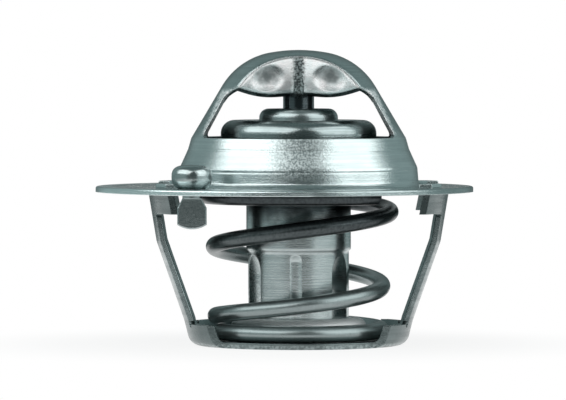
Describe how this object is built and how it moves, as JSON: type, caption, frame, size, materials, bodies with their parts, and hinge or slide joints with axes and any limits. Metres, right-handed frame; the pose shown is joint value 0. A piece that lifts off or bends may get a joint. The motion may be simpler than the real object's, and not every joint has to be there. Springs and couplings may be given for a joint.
{
  "type": "engine coolant thermostat",
  "caption": "Wax-capsule coolant valve: domed flange with bridge, sprung valve plate, capsule in a legged frame, and a loose vent pin.",
  "frame": {"origin": "centre of the flange's outer circle, on the flange's underside", "axes": "+Z along the valve axis towards the bridge, +X from the flange's centre towards the valve axis, the vent pin at the front left (-X, -Y)"},
  "size_m": [0.048, 0.048, 0.0375],
  "materials": {
    "housing_steel": "turned satin",
    "frame_steel": "satin pressed sheet",
    "plate_steel": "spun satin",
    "piston_steel": "ground",
    "guide_metal": "turned, dull",
    "capsule_metal": "turned satin",
    "spring_steel": "dark oxide",
    "pin_steel": "smooth satin",
    "seal_rubber": "moulded",
    "sleeve_rubber": "moulded",
    "ring_plastic": "matt",
    "wax": "dull"
  },
  "bodies": {
    "housing": {"flange_housing": "housing_steel", "lower_frame": "frame_steel", "piston": "piston_steel", "valve_spring": "spring_steel"},
    "valve": {"valve_plate": "plate_steel", "valve_seal": "seal_rubber", "capsule_cup": "capsule_metal", "piston_guide": "guide_metal", "backup_ring": "ring_plastic", "rubber_boot": "sleeve_rubber", "wax_charge": "wax"},
    "vent": {"vent_pin": "pin_steel"}
  },
  "joints": [
    {"name": "valve_lift", "type": "slide", "parent": "housing", "child": "valve", "axis": [0, 0, -1], "range_m": [0, 0.008], "stiffness_N_per_m": 7500, "springref_m": -0.0001, "deforming": ["valve_spring"]},
    {"name": "vent_lift", "type": "slide", "parent": "housing", "child": "vent", "axis": [0, 0, 1], "range_m": [0, 0.0009]}
  ]
}
